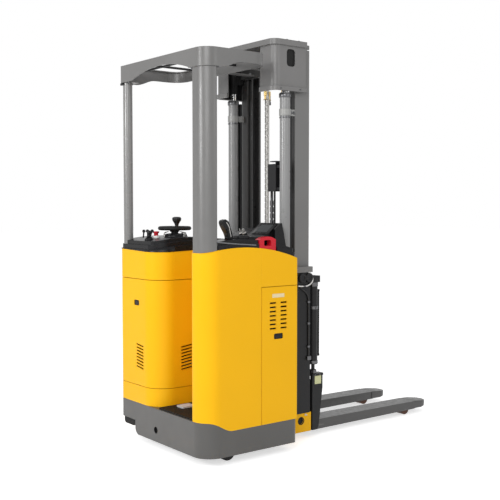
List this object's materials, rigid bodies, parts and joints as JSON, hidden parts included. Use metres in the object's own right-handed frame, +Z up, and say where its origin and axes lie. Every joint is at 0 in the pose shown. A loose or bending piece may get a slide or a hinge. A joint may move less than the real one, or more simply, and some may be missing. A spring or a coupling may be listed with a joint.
{
  "type": "electric pallet stacker",
  "caption": "Stand-on electric stacker with an open operator bay between yellow cabinets, an overhead guard, a telescopic lifting mast and forks that wrap over the support legs.",
  "frame": {"origin": "on the floor under the middle of the truck's bounding box", "axes": "+X towards the fork tips, +Y to the left, +Z up"},
  "size_m": [2.005, 0.9, 2.38],
  "materials": {
    "yellow_paint": "semi-gloss powder coat",
    "chassis_grey": "satin textured powder coat",
    "guard_grey": "satin powder coat",
    "mast_grey": "satin paint",
    "frame_black": "satin paint, rubbed where it slides",
    "moulded_black": "fine-grained moulding",
    "soft_black": "matt",
    "battery_case": "matt",
    "bare_steel": "brushed",
    "rod_chrome": "polished",
    "brass_zinc": "satin",
    "red_plastic": "gloss",
    "wheel_tread": "matt",
    "load_tread": "satin polyurethane"
  },
  "bodies": {
    "root": {"base": "chassis_grey", "floor_mat": "soft_black", "pedal": "bare_steel", "left_cabinet": "yellow_paint", "left_service_panel": "yellow_paint", "right_cabinet": "yellow_paint", "battery_cover": "yellow_paint", "side_panel": "yellow_paint", "battery": "battery_case", "console": "moulded_black", "steering_column": "moulded_black", "gauge": "moulded_black", "joystick": "moulded_black", "stop_button": "red_plastic", "control_handle": "moulded_black", "key_switches": "moulded_black", "display_shroud": "moulded_black", "disconnect_handle": "red_plastic", "guard_ring": "guard_grey", "guard_bars": "frame_black", "right_post": "guard_grey", "left_post": "guard_grey", "guard_stays": "guard_grey", "outer_mast": "mast_grey", "mast_brackets": "mast_grey", "side_covers": "frame_black", "lift_barrels": "mast_grey", "barrel_clamps": "mast_grey", "chain_block": "frame_black", "leg_roots": "yellow_paint", "support_legs": "frame_black", "castor_mounts": "frame_black", "corner_buffer": "soft_black"},
    "steering": {"steering_wheel": "soft_black", "wheel_knob": "moulded_black"},
    "inner_mast": {"inner_mast": "frame_black", "mast_head": "mast_grey", "lift_rods": "rod_chrome", "sheaves": "brass_zinc", "lift_chains": "bare_steel"},
    "carriage": {"carriage": "frame_black", "carriage_rollers": "bare_steel", "forks": "frame_black", "shanks": "frame_black", "shank_cylinders": "frame_black", "cylinder_hoses": "soft_black"},
    "turret": {"drive_turret": "frame_black"},
    "drive": {"drive_wheel": "wheel_tread"},
    "castor_right": {"castor_fork_right": "bare_steel"},
    "castor_right_roll": {"castor_wheel_right": "wheel_tread"},
    "castor_left": {"castor_fork_left": "bare_steel"},
    "castor_left_roll": {"castor_wheel_left": "wheel_tread"},
    "load_right": {"load_wheel_right": "load_tread"},
    "load_left": {"load_wheel_left": "load_tread"}
  },
  "joints": [
    {"name": "steering_wheel_turn", "type": "hinge", "parent": "root", "child": "steering", "pos_m": [-0.7715, 0.2, 1.28], "axis": [0, 0, 1], "continuous": true},
    {"name": "drive_steer", "type": "hinge", "parent": "root", "child": "turret", "pos_m": [-0.7225, 0.145, 0.245], "axis": [0, 0, 1], "range_deg": [-90, 90]},
    {"name": "drive_spin", "type": "hinge", "parent": "turret", "child": "drive", "pos_m": [-0.7225, 0.145, 0.108], "axis": [0, 1, 0], "continuous": true},
    {"name": "castor_right_swivel", "type": "hinge", "parent": "root", "child": "castor_right", "pos_m": [-0.7575, -0.345, 0.134], "axis": [0, 0, 1], "continuous": true},
    {"name": "castor_right_spin", "type": "hinge", "parent": "castor_right", "child": "castor_right_roll", "pos_m": [-0.7875, -0.345, 0.05], "axis": [0, 1, 0], "continuous": true},
    {"name": "castor_left_swivel", "type": "hinge", "parent": "root", "child": "castor_left", "pos_m": [-0.7875, 0.345, 0.134], "axis": [0, 0, 1], "continuous": true},
    {"name": "castor_left_spin", "type": "hinge", "parent": "castor_left", "child": "castor_left_roll", "pos_m": [-0.8175, 0.345, 0.05], "axis": [0, 1, 0], "continuous": true},
    {"name": "load_right_spin", "type": "hinge", "parent": "root", "child": "load_right", "pos_m": [0.8005, -0.195, 0.037], "axis": [0, 1, 0], "continuous": true},
    {"name": "load_left_spin", "type": "hinge", "parent": "root", "child": "load_left", "pos_m": [0.8005, 0.195, 0.037], "axis": [0, 1, 0], "continuous": true},
    {"name": "mast_lift", "type": "slide", "parent": "root", "child": "inner_mast", "axis": [0, 0, 1], "range_m": [0, 1.6]},
    {"name": "carriage_lift", "type": "slide", "parent": "inner_mast", "child": "carriage", "axis": [0, 0, 1], "range_m": [0, 1.6]}
  ],
  "couplings": [
    {"joint": "carriage_lift", "follows": "mast_lift", "ratio": 1}
  ]
}
